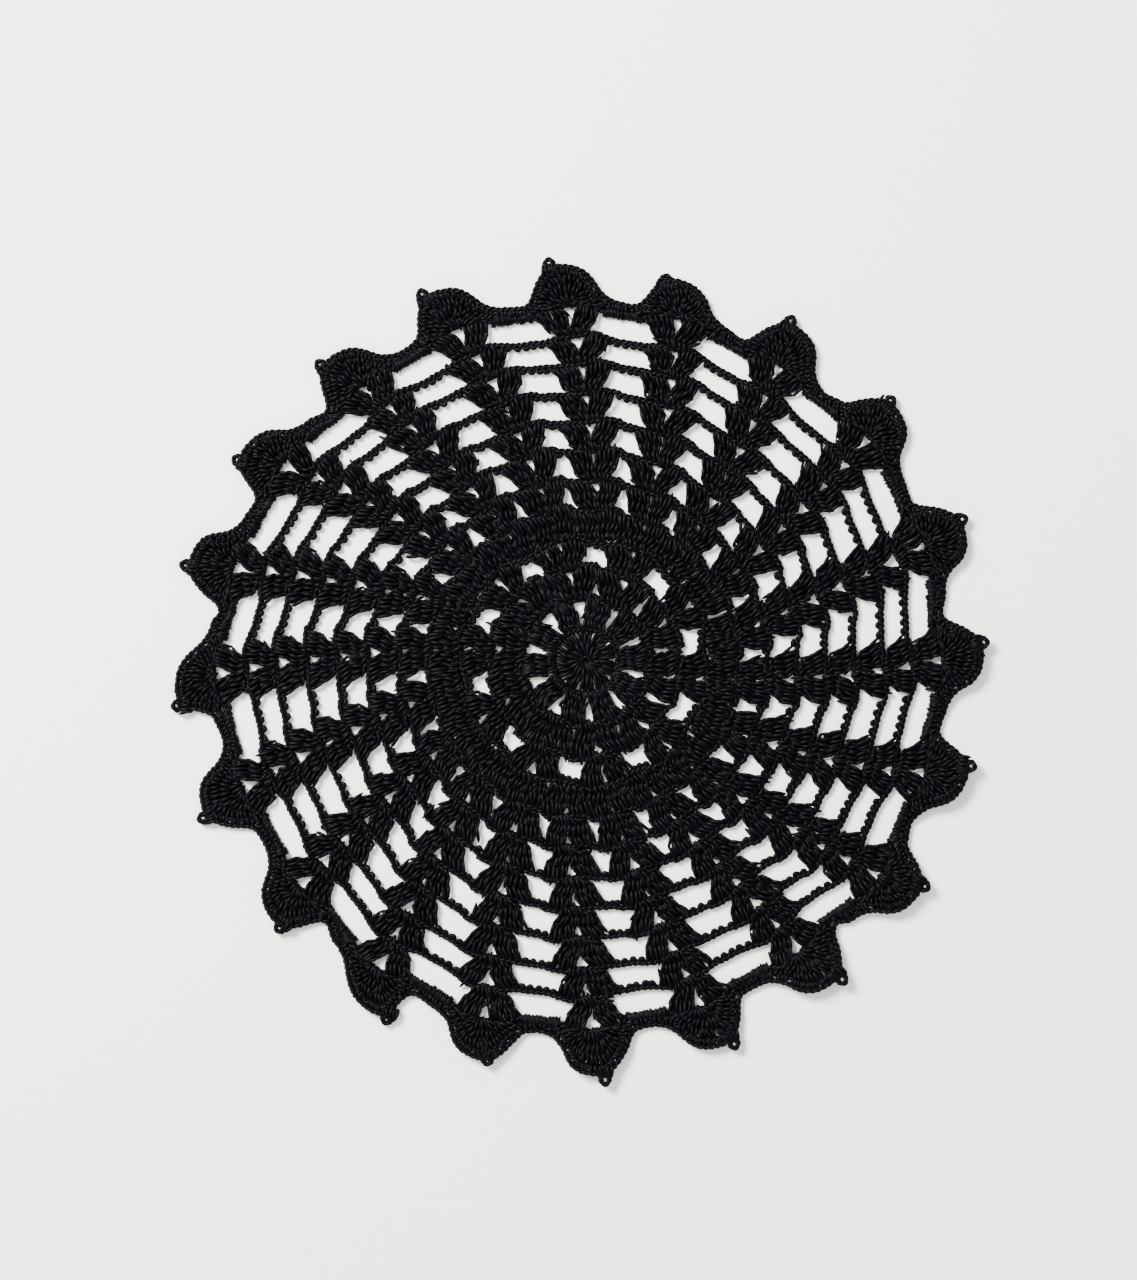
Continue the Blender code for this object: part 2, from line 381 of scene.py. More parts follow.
# The two strands of a chain edge: their distance from its middle, their thickness in threads, the
# length of one twist, and the points in it
CORD_MM = 0.37
CORD_THICKNESS = 1.22
CORD_TURN = 2.8
CORD_STEPS = 5

# The cotton's look: its fuzz and patches; where it turns to the lighter worn colour, which is wear
# in random patches and painted sheen along the plies' crests; its shine and its relief
FUZZ_SCALE = 5200.0
PATCH_SCALE = 160.0
WORN_AND_SHEEN_FROM = 0.18
WORN_AND_SHEEN_TO = 0.55
COTTON_ROUGH = 0.32
PATCH_ROUGH = 0.16
COTTON_SPECULAR = 0.042
PLY_RELIEF = 0.75
FUZZ_RELIEF = 0.25
RELIEF_STRENGTH = 0.5
RELIEF_M = 0.00008

# The surface and the light on it
SURFACE_HALF = 1.5
SURFACE_MOTTLE = 6.0
SURFACE_DARKER = 0.97
WINDOW_SIZE = 0.45
WINDOW_PLACE = (-0.55, 0.5, 0.75)
WINDOW_COLOUR = (1.0, 0.97, 0.92)
ROOM_COLOUR = (0.95, 0.965, 1.0, 1.0)


class DoilyThread(bpy.types.PropertyGroup):
    """The cotton thread: its size, twist and colours."""

    diameter: FloatProperty(
        name="Diameter",
        description="Thickness of the thread",
        default=0.76 * MM,
        min=0.3 * MM,
        max=1.2 * MM,
        unit="LENGTH",
    )
    twist: FloatProperty(
        name="Twist",
        description="Length of thread in which one ply goes round once",
        default=3.0 * MM,
        min=1.0 * MM,
        max=10.0 * MM,
        unit="LENGTH",
    )
    plies: IntProperty(
        name="Plies",
        description="Number of plies twisted into the thread",
        default=3,
        min=2,
        max=6,
    )
    sides: IntProperty(
        name="Sides",
        description="Number of faces round the thread",
        default=6,
        min=4,
        max=12,
    )
    colour: FloatVectorProperty(
        name="Colour",
        description="Colour of the dyed cotton",
        default=(0.0005, 0.0005, 0.0010),
        min=0.0,
        max=1.0,
        size=3,
        subtype="COLOR",
    )
    # The lighter colour of rubbed cotton in random patches, also laid along the crests of the plies
    # as painted sheen, which leaves painted shade in the grooves between them
    worn_and_sheen_colour: FloatVectorProperty(
        name="Worn and Sheen Colour",
        description="Colour of the cotton where it is rubbed",
        default=(0.0018, 0.0016, 0.0027),
        min=0.0,
        max=1.0,
        size=3,
        subtype="COLOR",
    )


class DoilyWork(bpy.types.PropertyGroup):
    """How the crochet is worked and how it lies."""

    height: FloatProperty(
        name="Height",
        description="How far the upper strands are off the surface",
        default=1.34 * MM,
        min=0.5 * MM,
        max=3.0 * MM,
        unit="LENGTH",
    )
    under_height: FloatProperty(
        name="Under Height",
        description="How far the strands of the underside are off the surface",
        default=0.60 * MM,
        min=0.3 * MM,
        max=2.0 * MM,
        unit="LENGTH",
    )
    chain_height: FloatProperty(
        name="Chain Height",
        description="How far the chain edges are off the surface",
        default=0.90 * MM,
        min=0.5 * MM,
        max=3.0 * MM,
        unit="LENGTH",
    )
    unevenness: FloatProperty(
        name="Unevenness",
        description="How far a stitch strays from its place",
        default=0.11 * MM,
        min=0.0,
        max=1.0 * MM,
        unit="LENGTH",
    )


class DoilyStage(bpy.types.PropertyGroup):
    """The pale surface and the light on it."""

    floor_colour: FloatVectorProperty(
        name="Surface Colour",
        description="Colour of the surface that the doily lies on",
        default=(0.90, 0.885, 0.835),
        min=0.0,
        max=1.0,
        size=3,
        subtype="COLOR",
    )
    key_power: FloatProperty(
        name="Window Power",
        description="Power of the large light at the upper left",
        default=52.0,
        min=0.0,
        max=500.0,
        unit="POWER",
    )
    sky_strength: FloatProperty(
        name="Room Light",
        description="Strength of the even light from all round",
        default=1.65,
        min=0.0,
        max=5.0,
    )
    camera_height: FloatProperty(
        name="Camera Height",
        description="How far the camera is above the surface",
        default=0.9,
        min=0.3,
        max=5.0,
        unit="LENGTH",
    )


class DoilySettings(bpy.types.PropertyGroup):
    """All the settings of the doily and its stage."""

    thread: PointerProperty(name="Thread", description="The cotton thread", type=DoilyThread)
    work: PointerProperty(name="Work", description="How it is crocheted", type=DoilyWork)
    stage: PointerProperty(name="Stage", description="Surface and light", type=DoilyStage)


def smooth(value):
    """Ease values from 0 to 1, held outside that range."""
    held = np.clip(value, 0.0, 1.0)
    return held * held * (3.0 - 2.0 * held)


def mix(first, second, share):
    """Give the value a share of the way from one to another."""
    return first + (second - first) * share


def spot(angle, radius):
    """Give the place at an angle and a distance from the centre, which drifts as rounds go out."""
    out = radius / CROWN_MM
    x = radius * np.cos(np.radians(angle)) + DRIFT_X * out
    y = radius * np.sin(np.radians(angle)) + DRIFT_Y * out
    return np.stack([x, y], axis=-1)


def line(column, radius):
    """Give a column's angle at a distance from the centre."""
    if radius < ROOT_MM:
        behind = np.interp(radius, [turn.radius for turn in TURNS], [turn.behind for turn in TURNS])
        return column.root - behind
    at_root = (radius - MID_MM) * (radius - CROWN_MM) / ((ROOT_MM - MID_MM) * (ROOT_MM - CROWN_MM))
    at_mid = (radius - ROOT_MM) * (radius - CROWN_MM) / ((MID_MM - ROOT_MM) * (MID_MM - CROWN_MM))
    at_crown = 1.0 - at_root - at_mid
    return column.root * at_root + column.mid * at_mid + column.crown * at_crown


def beside(column, offset, radius):
    """Give the angle and distance of a place a number of millimetres to the side of a column."""
    reach = radius + (column.crown_mm - CROWN_MM) * (radius / CROWN_MM) ** 2
    return line(column, radius) + math.degrees(offset / reach), reach


def column_after(index, step=1):
    """Give a later column, its angles never less than those of the column before it."""
    turns, place = divmod(index + step, len(COLUMNS))
    column = COLUMNS[place]
    angles = {name: getattr(column, name) + 360 * turns for name in ("root", "mid", "crown")}
    return column._replace(**angles)


def rim_lift(points):
    """Give how far the rim is off the surface at points in millimetres."""
    out = np.hypot(points[..., 0], points[..., 1]) / CROWN_MM
    dx = points[..., 0] - DRIFT_X * out
    dy = points[..., 1] - DRIFT_Y * out
    radius = np.hypot(dx, dy)
    crowns = np.array([column.crown for column in COLUMNS])
    lifts = np.array([column.lift_mm for column in COLUMNS])
    turn = (np.degrees(np.arctan2(dy, dx))[..., None] - crowns + 180) % 360 - 180
    nearest = np.argmin(np.abs(turn), axis=-1)
    side = np.take_along_axis(np.abs(turn), nearest[..., None], axis=-1)[..., 0]
    share = 1.0 - smooth((np.radians(side) * CROWN_MM - LIFT_BESIDE) / LIFT_EASE)
    return lifts[nearest] * share * smooth((radius - LIFT_FROM) / LIFT_OVER)


def unit(vectors):
    """Scale vectors to length 1."""
    return vectors / np.maximum(np.linalg.norm(vectors, axis=-1, keepdims=True), 1e-9)


def curve_through(control, step):
    """Give points on smooth curves through rows of control points, about a step apart."""
    chords = np.maximum(np.linalg.norm(np.diff(control, axis=1), axis=-1), 1e-6)
    slopes = np.diff(control, axis=1) / chords[..., None]
    before = chords[:, :-1, None]
    after = chords[:, 1:, None]
    inner = (slopes[:, :-1] * after + slopes[:, 1:] * before) / (before + after)
    tangents = np.concatenate([slopes[:, :1], inner, slopes[:, -1:]], axis=1)
    counts = np.clip(np.round(chords.mean(axis=0) / step), 1, MOST_STEPS).astype(int)
    spans = np.repeat(np.arange(len(counts)), counts)
    shares = np.concatenate([np.arange(count) / count for count in counts])[:, None]
    start = control[:, spans]
    end = control[:, spans + 1]
    length = chords[:, spans][..., None]
    cube = shares ** 3
    square = shares ** 2
    points = (
        start * (2 * cube - 3 * square + 1)
        + tangents[:, spans] * length * (cube - 2 * square + shares)
        + end * (3 * square - 2 * cube)
        + tangents[:, spans + 1] * length * (cube - square)
    )
    return np.concatenate([points, control[:, -1:]], axis=1)


def sides_of(points):
    """Give two sideways directions at each point of the curves, without twist along them."""
    ahead = unit(np.diff(points, axis=1))
    middle = unit(ahead[:, :-1] + ahead[:, 1:])
    tangents = np.concatenate([ahead[:, :1], middle, ahead[:, -1:]], axis=1)
    steep = np.abs(tangents[:, 0, 2:]) > 0.9
    reference = np.where(steep, np.array([1.0, 0.0, 0.0]), np.array([0.0, 0.0, 1.0]))
    side = np.empty_like(points)
    side[:, 0] = unit(np.cross(tangents[:, 0], reference))
    for place in range(1, points.shape[1]):
        step = points[:, place] - points[:, place - 1]
        scale = 2.0 / np.maximum((step * step).sum(axis=-1, keepdims=True), 1e-12)
        last = side[:, place - 1]
        carried = last - step * (step * last).sum(axis=-1, keepdims=True) * scale
        turned = tangents[:, place - 1]
        turned = turned - step * (step * turned).sum(axis=-1, keepdims=True) * scale
        bend = tangents[:, place] - turned
        scale = 2.0 / np.maximum((bend * bend).sum(axis=-1, keepdims=True), 1e-12)
        side[:, place] = carried - bend * (bend * carried).sum(axis=-1, keepdims=True) * scale
    side = unit(side - tangents * (side * tangents).sum(axis=-1, keepdims=True))
    return side, np.cross(tangents, side)


class Yarn:
    """Lengths of thread that become one mesh of smooth tubes."""

    def __init__(self, settings, seed):
        self.radius = settings.thread.diameter / MM / 2
        self.sides = settings.thread.sides
        self.twist = settings.thread.twist / MM
        self.stray = settings.work.unevenness / MM
        self.over = settings.work.height / MM
        self.under = settings.work.under_height / MM
        self.chain = settings.work.chain_height / MM
        self.chance = np.random.default_rng(seed)
        self.points = []
        self.maps = []
        self.faces = []
        self.caps = []
        self.count = 0

    def add(self, control, step, thickness=1.0, taper=0.0):
        """Add a length of thread through each row of control points, in millimetres."""
        points = curve_through(control, step)
        side, up = sides_of(points)
        around = np.arange(self.sides) * (2 * math.pi / self.sides)
        stray = 1.0 + THICKNESS_STRAY * self.chance.standard_normal(points.shape[:2])
        narrow = 1.0 - taper * np.linspace(-1.0, 1.0, points.shape[1]) ** 2
        radius = (self.radius * thickness * stray * narrow)[..., None, None]
        ring = np.cos(around)[:, None] * side[:, :, None] + np.sin(around)[:, None] * up[:, :, None]
        tube = points[:, :, None] + ring * radius
        rows, length = points.shape[:2]
        steps = np.linalg.norm(np.diff(points, axis=1), axis=-1)
        run = np.concatenate([np.zeros((rows, 1)), np.cumsum(steps, axis=1)], axis=1)
        run = (run + self.chance.uniform(0, 10, (rows, 1))) / self.twist
        index = self.count + np.arange(rows * length * self.sides)
        index = index.reshape(rows, length, self.sides)
        onward = np.roll(index, -1, axis=2)
        quads = np.stack([index[:, :-1], onward[:, :-1], onward[:, 1:], index[:, 1:]], axis=-1)
        turn = np.arange(self.sides) / self.sides
        low = np.broadcast_to(turn, (rows, length - 1, self.sides))
        high = low + 1.0 / self.sides
        near = np.broadcast_to(run[:, :-1, None], low.shape)
        far = np.broadcast_to(run[:, 1:, None], low.shape)
        corners = [(near, low), (near, high), (far, high), (far, low)]
        maps = np.stack([np.stack(corner, axis=-1) for corner in corners], axis=-2)
        self.points.append(tube.reshape(-1, 3))
        self.faces.append(quads.reshape(-1, 4))
        self.maps.append(maps.reshape(-1, 2))
        self.caps.append(index[:, 0, ::-1].reshape(-1, self.sides))
        self.caps.append(index[:, -1].reshape(-1, self.sides))
        self.count += rows * length * self.sides

    def add_strands(self, lines, start, end, lean=1.0, underneath=False):
        """Add one strand over a share of each line, on the upper side or the underside."""
        along, side, up = np.array(UNDER_STRAND if underneath else STRAND).T
        rows = len(lines)
        lines = lines + self.chance.normal(0, self.stray, lines.shape)
        level = self.under if underneath else self.over
        side = side * lean
        share = mix(start, end, along[:, None])
        spread = UNDER_SHARE_STRAY if underneath else SHARE_STRAY
        share = share + self.chance.normal(0, spread, (rows, 1, 1))
        foot, waist, top = (lines[:, None, index] for index in range(3))
        middle = (
            foot * (1 - share) * (1 - 2 * share)
            + waist * 4 * share * (1 - share)
            + top * share * (2 * share - 1)
        )
        ahead = unit(foot * (4 * share - 3) + waist * (4 - 8 * share) + top * (4 * share - 1))
        across = np.stack([-ahead[..., 1], ahead[..., 0]], axis=-1)
        curve = self.chance.normal(1.0, CURVE_STRAY, (rows, 1, 1))
        flat = middle + across * (side[:, None] * curve)
        spread = UNDER_HEIGHT_STRAY if underneath else HEIGHT_STRAY
        rise = level + self.chance.normal(0, spread, (rows, 1))
        height = rise + up + rim_lift(flat)
        control = np.concatenate([flat, height[..., None]], axis=-1)
        if underneath:
            self.add(control, STRAND_STEP, UNDER_THICKNESS, UNDER_TAPER)
        else:
            self.add(control, STRAND_STEP, STRAND_THICKNESS, STRAND_TAPER)

    def fill(self, lines_at, tiers, under_tiers):
        """Fill patches with tiers of strands side by side, on the upper side and the underside."""
        for start, end, count, lean in tiers:
            self.add_strands(lines_at(np.linspace(0.0, 1.0, count)), start, end, lean)
        for start, end, count, lean in under_tiers:
            shares = (np.arange(count) + 0.5) / count
            self.add_strands(lines_at(shares), start, end, lean, underneath=True)

    def add_cord(self, points, reach=CORD_MM):
        """Add the two strands of a chain edge, twisted round each other along a closed line."""
        length = np.linalg.norm(np.roll(points, -1, axis=0) - points, axis=-1).sum()
        turns = round(length / CORD_TURN)
        share = np.arange(turns * CORD_STEPS + 1) / (turns * CORD_STEPS)
        at = places_along(np.concatenate([points, outward(points)], axis=1), share)
        strands = []
        for strand in range(2):
            turn = 2 * math.pi * turns * share + math.pi * strand
            wander = self.chance.normal(0, self.stray / 3, len(share))
            flat = at[:, :2] + at[:, 2:4] * (reach * np.cos(turn) + wander)[:, None]
            height = self.chain + reach * np.sin(turn) + rim_lift(flat)
            strands.append(np.concatenate([flat, height[:, None]], axis=1))
        self.add(np.array(strands), STRAND_STEP, CORD_THICKNESS)

    def make(self, name):
        """Make the object of all the thread that was added."""
        points = np.concatenate(self.points) * MM
        points[:, 2] = np.maximum(points[:, 2], LOWEST_MM * MM)
        quads = np.concatenate(self.faces)
        caps = np.concatenate(self.caps)
        corners = np.concatenate([quads.ravel(), caps.ravel()])
        starts = np.arange(len(quads)) * 4
        cap_starts = len(quads) * 4 + np.arange(len(caps)) * self.sides
        maps = np.concatenate([np.concatenate(self.maps), np.zeros((caps.size, 2))])
        mesh = bpy.data.meshes.new(name)
        mesh.vertices.add(len(points))
        mesh.vertices.foreach_set("co", points.ravel())
        mesh.loops.add(len(corners))
        mesh.loops.foreach_set("vertex_index", corners)
        mesh.polygons.add(len(quads) + len(caps))
        mesh.polygons.foreach_set("loop_start", np.concatenate([starts, cap_starts]))
        layer = mesh.uv_layers.new(name="thread")
        layer.uv.foreach_set("vector", maps.ravel())
        mesh.update(calc_edges=True)
        mesh.shade_smooth()
        piece = bpy.data.objects.new(name, mesh)
        bpy.context.scene.collection.objects.link(piece)
        return piece


def closed_line(nodes, samples=12):
    """Give points on a smooth closed curve through nodes."""
    nodes = np.asarray(nodes, dtype=float)
    looped = np.concatenate([nodes[-1:], nodes, nodes[:2]])
    share = (np.arange(samples) / samples)[:, None]
    parts = []
    for index in range(len(nodes)):
        a, b, c, d = looped[index : index + 4]
        parts.append(
            b
            + 0.5 * share * (c - a)
            + share ** 2 * (a - 2.5 * b + 2 * c - 0.5 * d)
            + 0.5 * share ** 3 * (3 * b - 3 * c + d - a)
        )
    return np.concatenate(parts)


def places_along(points, shares):
    """Give the values of a closed line at shares of its length, which may pass 1."""
    closed = np.concatenate([points, points[:1]])
    steps = np.linalg.norm(np.diff(closed[:, :2], axis=0), axis=-1)
    run = np.concatenate([[0.0], np.cumsum(steps)])
    at = (np.asarray(shares) % 1.0) * run[-1]
    return np.stack([np.interp(at, run, values) for values in closed.T], axis=-1)


def outward(points):
    """Give the outward direction along a closed line that runs anticlockwise."""
    ahead = unit(np.roll(points, -1, axis=0) - np.roll(points, 1, axis=0))
    return np.stack([ahead[:, 1], -ahead[:, 0]], axis=-1)


def moved_in(points, distance):
    """Move a closed line inwards."""
    return points - outward(points) * distance


def share_at(points, angle):
    """Give where along a closed line an angle lies, as a share of its length."""
    out = np.hypot(points[:, 0], points[:, 1]) / CROWN_MM
    seen = np.degrees(np.arctan2(points[:, 1] - DRIFT_Y * out, points[:, 0] - DRIFT_X * out))
    steps = np.linalg.norm(np.roll(points, -1, axis=0) - points, axis=-1)
    run = np.cumsum(steps) / steps.sum()
    return run[int(np.argmin(np.abs((seen - angle + 180) % 360 - 180)))]


def uneven(column, radius):
    """Give a number from -1 to 1 that differs from shell to shell."""
    return math.sin(column.root * UNEVEN_BY_ROOT + radius * UNEVEN_BY_RADIUS)


def shell_lines(row, half, shares):
    """List lines from foot to top in one half of every shell of a round."""
    middle = mix(row.foot, row.top, 0.5)
    swell = SWELL_BEFORE if half is row.before else SWELL_AFTER
    lines = []
    for column in COLUMNS[:: row.every]:
        hole = half.hole * (HOLE_SHARE + HOLE_UNEVEN * uneven(column, row.top))
        spread = 1.0 + SPREAD_UNEVEN * uneven(column, half.end_out)
        inner = ((half.foot * FOOT_INNER, row.foot), (half.split, middle), (hole, row.top))
        outer = (
            (half.foot * spread, row.foot + FOOT_STEP),
            (half.mid * spread, half.mid_out),
            (half.end * spread, half.end_out),
        )
        for share in shares:
            places = [mix(np.array(one), np.array(other), share) for one, other in zip(inner, outer)]
            places[2][1] += swell * 4 * share * (1 - share)
            lines.append([spot(*beside(column, *place)) for place in places])
    return np.array(lines)


def bar_place(row, index, share):
    """Give the angle and distance of a place along the chain bar after a shell."""
    start = beside(COLUMNS[index], row.after.end, row.chain_out)
    end = beside(column_after(index, row.every), row.before.end, row.chain_out)
    past = np.interp(share, BAR_SHARES, BAR_PAST)
    return mix(start[0], end[0], share), mix(start[1], end[1], share) + past


def chain_edge(row):
    """Give the line along the tops of a round of shells and the chain bars between them."""
    nodes = []
    for index in range(0, len(COLUMNS), row.every):
        column = COLUMNS[index]
        near = (
            (row.before.end * EDGE_NEAR, EDGE_NEAR_BEFORE),
            (0.0, EDGE_AT_HOLE),
            (row.after.end * EDGE_NEAR, EDGE_NEAR_AFTER),
        )
        nodes += [spot(*beside(column, offset, row.top + past)) for offset, past in near]
        nodes += [spot(*bar_place(row, index, share)) for share in BAR_SHARES]
    return closed_line(nodes)


def bar_loops(row, yarn):
    """Give the thread that bulges in loops from the chain bars of a round."""
    along, out, up = np.array(LOOP).T
    bars = []
    for index in range(0, len(COLUMNS), row.every):
        parts = []
        for number in range(row.loops):
            share = (number + 0.5) / row.loops + yarn.chance.normal(0, LOOP_PLACE_STRAY)
            angle, radius = bar_place(row, index, share)
            size = yarn.chance.normal(1.0, LOOP_SIZE_STRAY)
            flat = spot(angle + np.degrees(along * size / radius), radius + out * size)
            parts.append(np.concatenate([flat, (yarn.chain + up)[:, None]], axis=1))
        bars.append(np.concatenate(parts))
    return np.array(bars)


def crochet_shells(yarn, row):
    """Add a round of shells with its chain edge."""
    upper, under = (
        [(tier.start, tier.end, row.strands - tier.fewer, tier.lean) for tier in tiers]
        for tiers in (SHELL_TIERS, SHELL_UNDER)
    )
    for half in (row.before, row.after):
        yarn.fill(lambda shares: shell_lines(row, half, shares), upper, under)
    yarn.add_cord(chain_edge(row))
    if row.loops:
        yarn.add(bar_loops(row, yarn), STRAND_STEP, LOOP_THICKNESS)


def first_lines(angles):
    """List lines from the ring to the first round's edge."""
    radii = (FIRST_FOOT, (FIRST_FOOT + FIRST_TOP) / 2, FIRST_TOP)
    return np.stack([spot(angles, radius) for radius in radii], axis=1)


def rim_line():
    """Give the outer edge of the fans, without their picots."""
    nodes = []
    for column in COLUMNS:
        growth = 1.0 + RIM_GROWTH * (column.rise_mm / USUAL_RISE_MM - 1.0)
        lean = RIM_LEAN * (column.lean - USUAL_LEAN)
        for turn, beyond in RIM:
            taller = growth if beyond > RIM_GROWTH_FROM else 1.0
            leaning = lean * float(smooth((beyond - RIM_LEAN_FROM) / RIM_LEAN_OVER))
            nodes.append(spot(column.crown + turn + leaning, column.crown_mm + beyond * taller))
    return closed_line(nodes, RIM_SAMPLES)


def fan_lines(edge, shares):
    """List lines from the foot of every fan to its edge."""
    lines = []
    for column in COLUMNS:
        first = share_at(edge, column.crown + FAN_START)
        last = share_at(edge, column.crown + FAN_END)
        last = last + 1.0 if last < first else last
        for share in shares:
            offset = mix(FAN_FOOT_BEFORE, FAN_FOOT_AFTER, share)
            foot = spot(*beside(column, offset, FAN_FOOT))
            top = places_along(edge, mix(first, last, share))
            out = unit(top - spot(*beside(column, 0.0, FAN_FOOT - FAN_HEART)))
            bow = (2 * share - 1) ** 2
            lines.append((foot, mix(foot, top, 0.5) + out * FAN_BOW * bow, top))
    return np.array(lines)


def valley_lines(edge, shares):
    """List lines from the last chain bars to the edge between the fans."""
    lines = []
    for index, column in enumerate(COLUMNS):
        following = column_after(index)
        first = share_at(edge, column.crown + FAN_END)
        last = share_at(edge, following.crown + FAN_START)
        last = last + 1.0 if last < first else last
        start = beside(column, VALLEY_AFTER, VALLEY_FOOT)
        end = beside(following, VALLEY_BEFORE, VALLEY_FOOT + VALLEY_RISE)
        for share in shares:
            foot = spot(mix(start[0], end[0], share), mix(start[1], end[1], share))
            top = places_along(edge, mix(first, last, share))
            lines.append((foot, mix(foot, top, 0.5), top))
    return np.array(lines)


def rim_lines(rim, aside):
    """List lines across the rim, one for each of its stitches, moved along it by a distance."""
    length = np.linalg.norm(np.roll(rim, -1, axis=0) - rim, axis=-1).sum()
    shares = (np.arange(RIM_STITCHES) + 0.5) / RIM_STITCHES
    values = np.concatenate([rim, outward(rim)], axis=1)
    low = places_along(values, shares + aside / length)
    high = places_along(values, shares + RIM_OUTER_SHARE * aside / length)
    inner = low[:, :2] - low[:, 2:] * RIM_STITCH_IN
    outer = high[:, :2] - high[:, 2:] * RIM_STITCH_OUT
    return np.stack([inner, (inner + outer) / 2, outer], axis=1)


def picot_frame(column):
    """Give a picot's angle, its direction and the one across it."""
    angle = column.crown + column.lean
    out = np.array([math.cos(math.radians(angle)), math.sin(math.radians(angle))])
    return angle, out, np.array([-out[1], out[0]])


def picot_ring(column, strand, yarn):
    """Give one of the two strands of a picot's ring, squashed if the picot is short."""
    angle, out, across = picot_frame(column)
    centre = spot(angle, column.crown_mm + column.rise_mm - PICOT_MM - PICOT_TIP)
    tall = TALL_SHARE + (column.rise_mm - TALL_FROM_MM) * TALL_GROWTH
    tall = float(np.clip(tall, TALL_LEAST, TALL_MOST))
    turn = np.linspace(-PICOT_TURN, PICOT_TURN, PICOT_POINTS)
    twist = turn * PICOT_TWISTS + math.pi * strand
    reach = PICOT_MM + PICOT_CORD_MM * np.cos(twist)
    way = np.cos(turn)[:, None] * out * tall + np.sin(turn)[:, None] * across
    flat = centre + reach[:, None] * way
    height = yarn.chain + PICOT_CORD_MM * np.sin(twist) + rim_lift(flat)
    return np.concatenate([flat, height[:, None]], axis=1)


def picot_lines(shares):
    """List lines up the stem of every picot."""
    lines = []
    for column in COLUMNS:
        angle, _, across = picot_frame(column)
        reach = column.crown_mm + column.rise_mm
        foot = spot(angle, reach - PICOT_FOOT)
        top = spot(angle, reach - PICOT_STEM)
        for share in shares:
            aside = across * mix(-PICOT_SPREAD, PICOT_SPREAD, share)
            waist = mix(foot, top, 0.5) + aside * PICOT_WAIST
            lines.append((foot + aside, waist, top + aside * PICOT_TOP))
    return np.array(lines)


class Value:
    """A socket whose arithmetic adds Math nodes."""

    def __init__(self, nodes, socket):
        self.nodes = nodes
        self.socket = socket

    def math(self, operation, first, second=None):
        values = [first] if second is None else [first, second]
        node = self.nodes.add("ShaderNodeMath", {"operation": operation}, dict(enumerate(values)))
        return Value(self.nodes, node.outputs[0])

    def __add__(self, other):
        return self.math("ADD", self, other)

    def __radd__(self, other):
        return self.math("ADD", other, self)

    def __sub__(self, other):
        return self.math("SUBTRACT", self, other)

    def __rsub__(self, other):
        return self.math("SUBTRACT", other, self)

    def __mul__(self, other):
        return self.math("MULTIPLY", self, other)

    def __rmul__(self, other):
        return self.math("MULTIPLY", other, self)

    def __abs__(self):
        return self.math("ABSOLUTE", self)

    def sine(self):
        return self.math("SINE", self)


class Nodes:
    """The nodes of one material."""

    def __init__(self, name):
        self.material = bpy.data.materials.new(name)
        self.material.use_nodes = True
        self.tree = self.material.node_tree
        self.tree.nodes.clear()

    def add(self, kind, settings=None, values=None):
        """Add a node of a type, with its settings and then its sockets' values or links."""
        node = self.tree.nodes.new(kind)
        for name, setting in (settings or {}).items():
            setattr(node, name, setting)
        for name, value in (values or {}).items():
            socket = node.inputs[name]
            if isinstance(value, Value):
                self.tree.links.new(value.socket, socket)
            else:
                socket.default_value = value
        return node

    def out(self, node, name=0):
        """Give a node's output as a value."""
        return Value(self, node.outputs[name])

    def noise(self, place, scale, detail):
        """Add a noise over the piece's own coordinates, from 0 to 1."""
        values = {"Vector": place, "Scale": scale, "Detail": detail, "Roughness": 0.6}
        return self.out(self.add("ShaderNodeTexNoise", {"noise_dimensions": "3D"}, values), "Fac")

    def blend(self, share, first, second):
        """Add a mix of two colours."""
        values = {0: share, 6: first, 7: second}
        return self.out(self.add("ShaderNodeMix", {"data_type": "RGBA"}, values), 2)

    def finish(self, shader):
        """Join the shader to the material's output and give the material."""
        self.add("ShaderNodeOutputMaterial", None, {"Surface": self.out(shader)})
        return self.material


def black_cotton(thread):
    """Make the thread's material: dyed, twisted cotton with a soft shine, some rubbed fuzz, and
    painted sheen along the plies' crests with painted shade in the grooves between them.
    """
    found = bpy.data.materials.get("black_cotton")
    if found:
        return found
    nodes = Nodes("black_cotton")
    place = nodes.out(nodes.add("ShaderNodeTexCoord"), "Object")
    run = nodes.add("ShaderNodeUVMap", {"uv_map": "thread"})
    split = nodes.add("ShaderNodeSeparateXYZ", None, {"Vector": nodes.out(run)})
    length = nodes.out(split, "X")
    around = nodes.out(split, "Y")
    ply = abs(((length + around) * (math.pi * thread.plies)).sine())
    fuzz = nodes.noise(place, FUZZ_SCALE, 3.0)
    patch = nodes.noise(place, PATCH_SCALE, 2.0)
    # Painted sheen and shade: the lighter worn colour, varied at random by the patches and fuzz,
    # goes on most along the crests of the plies and least in the grooves between them
    worn_and_sheen = (patch * 0.5 + fuzz * 0.5) * (ply * 0.5 + 0.5)
    worn_and_sheen = nodes.out(nodes.add("ShaderNodeMapRange", None, {0: worn_and_sheen, 1: WORN_AND_SHEEN_FROM, 2: WORN_AND_SHEEN_TO}), 0)
    colour = nodes.blend(worn_and_sheen, (*thread.colour, 1.0), (*thread.worn_and_sheen_colour, 1.0))
    rough = patch * PATCH_ROUGH + COTTON_ROUGH
    relief = ply * PLY_RELIEF + fuzz * FUZZ_RELIEF
    values = {"Strength": RELIEF_STRENGTH, "Distance": RELIEF_M, "Height": relief}
    bump = nodes.add("ShaderNodeBump", None, values)
    shader = nodes.add(
        "ShaderNodeBsdfPrincipled",
        None,
        {
            "Base Color": colour,
            "Roughness": rough,
            "Normal": nodes.out(bump),
            "Specular IOR Level": COTTON_SPECULAR,
        },
    )
    return nodes.finish(shader)


